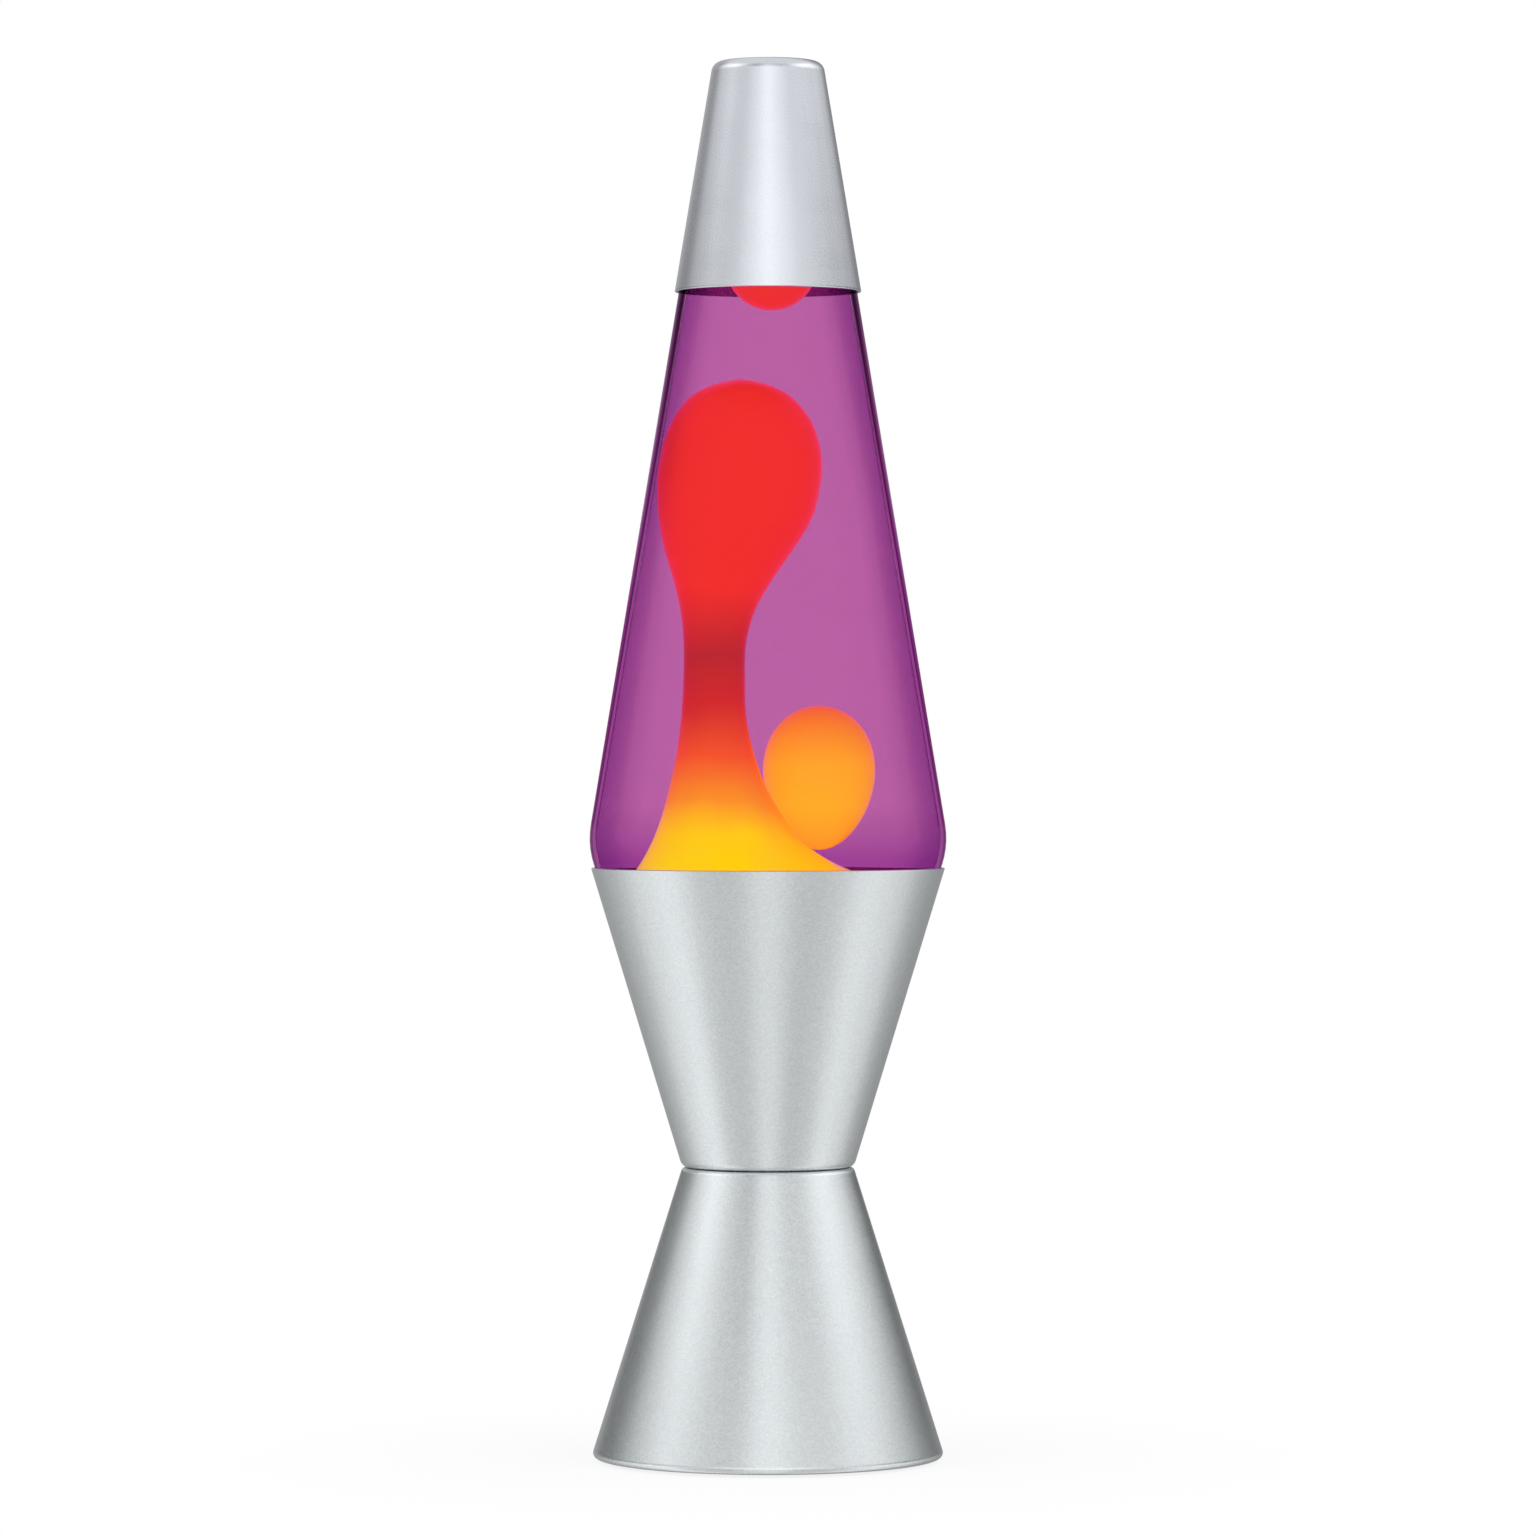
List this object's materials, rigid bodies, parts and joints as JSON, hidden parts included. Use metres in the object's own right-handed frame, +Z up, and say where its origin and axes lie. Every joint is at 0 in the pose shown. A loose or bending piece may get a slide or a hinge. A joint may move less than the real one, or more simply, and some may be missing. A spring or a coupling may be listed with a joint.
{
  "type": "lava lamp",
  "caption": "Wax-motion lamp: spun metal hourglass base with a bulb, a tapered glass globe of purple liquid and glowing wax, and a lift-off metal cap.",
  "frame": {"origin": "centre of the underside, on the surface that the lamp stands on", "axes": "+Z up along the lamp's axis, +Y towards the cord inlet at the back, +X to the right seen from the front"},
  "size_m": [0.094, 0.094, 0.3683],
  "materials": {
    "spun_aluminium": "satin, fine sparkling grain",
    "cap_aluminium": "smooth satin",
    "rivet_aluminium": "plain",
    "plate_plastic": "moulded, fine texture",
    "pad_rubber": "matte",
    "bushing_rubber": "matte",
    "zinc_steel": "bright zinc plate",
    "socket_brass": "bright",
    "socket_porcelain": "white glaze",
    "contact_bronze": "phosphor bronze strip",
    "lead_black": "PVC insulation",
    "lead_white": "PVC insulation",
    "splice_plastic": "nylon",
    "solder": "soft solder",
    "bulb_black_glass": "black base glass",
    "bulb_base_metal": "rolled",
    "bulb_glass": "clear",
    "stem_glass": "clear",
    "support_wire": "nickel wire",
    "tungsten": "glowing",
    "globe_glass": "clear",
    "crown_tinplate": "plain tinplate",
    "liner_plastic": "soft",
    "purple_liquid": "clear dyed liquid",
    "wax": "lit from below, red to yellow",
    "coil_steel": "spring wire"
  },
  "bodies": {
    "base": {"lower_cone": "spun_aluminium", "upper_cone": "spun_aluminium", "waist_rivets": "rivet_aluminium", "bottom_plate": "plate_plastic", "foot_pads": "pad_rubber", "cord_bushing": "bushing_rubber", "socket_strap": "zinc_steel", "socket_screws": "socket_brass", "socket_body": "socket_porcelain", "socket_screw_shell": "socket_brass", "centre_contact": "contact_bronze", "shell_contact": "contact_bronze", "lead_line": "lead_black", "lead_neutral": "lead_white", "splice_caps": "splice_plastic"},
    "bulb_tip_contact": {"bulb_tip": "solder"},
    "bulb": {"bulb_insulator": "bulb_black_glass", "bulb_screw_base": "bulb_base_metal", "bulb_envelope": "bulb_glass", "bulb_stem": "stem_glass", "bulb_supports": "support_wire", "bulb_filament": "tungsten"},
    "globe": {"globe_glass": "globe_glass", "crown_cap": "crown_tinplate", "crown_liner": "liner_plastic", "liquid": "purple_liquid", "wax_column": "wax", "wax_coil": "coil_steel"},
    "rising_wax": {"wax_blob": "wax"},
    "top_wax": {"wax_top_blob": "wax"},
    "cap": {"cap": "cap_aluminium"}
  },
  "joints": [
    {"name": "globe_lift", "type": "slide", "parent": "base", "child": "globe", "axis": [0, 0, 1], "range_m": [0, 0.09]},
    {"name": "cap_lift", "type": "slide", "parent": "globe", "child": "cap", "axis": [0, 0, 1], "range_m": [0, 0.06]},
    {"name": "bulb_rise", "type": "slide", "parent": "base", "child": "bulb_tip_contact", "axis": [0, 0, 1], "range_m": [0, 0.0142]},
    {"name": "bulb_turn", "type": "hinge", "parent": "bulb_tip_contact", "child": "bulb", "pos_m": [0, 0, 0.07], "axis": [0, 0, 1], "range_deg": [0, 1800]},
    {"name": "blob_rise", "type": "slide", "parent": "globe", "child": "rising_wax", "axis": [0, 0, 1], "range_m": [0, 0.037], "deforming": ["liquid"]},
    {"name": "top_blob_sink", "type": "slide", "parent": "globe", "child": "top_wax", "axis": [0, 0, -1], "range_m": [0, 0.012], "deforming": ["liquid"]}
  ],
  "couplings": [
    {"joint": "bulb_rise", "follows": "bulb_turn", "m_per_rad": 0.00044882}
  ]
}
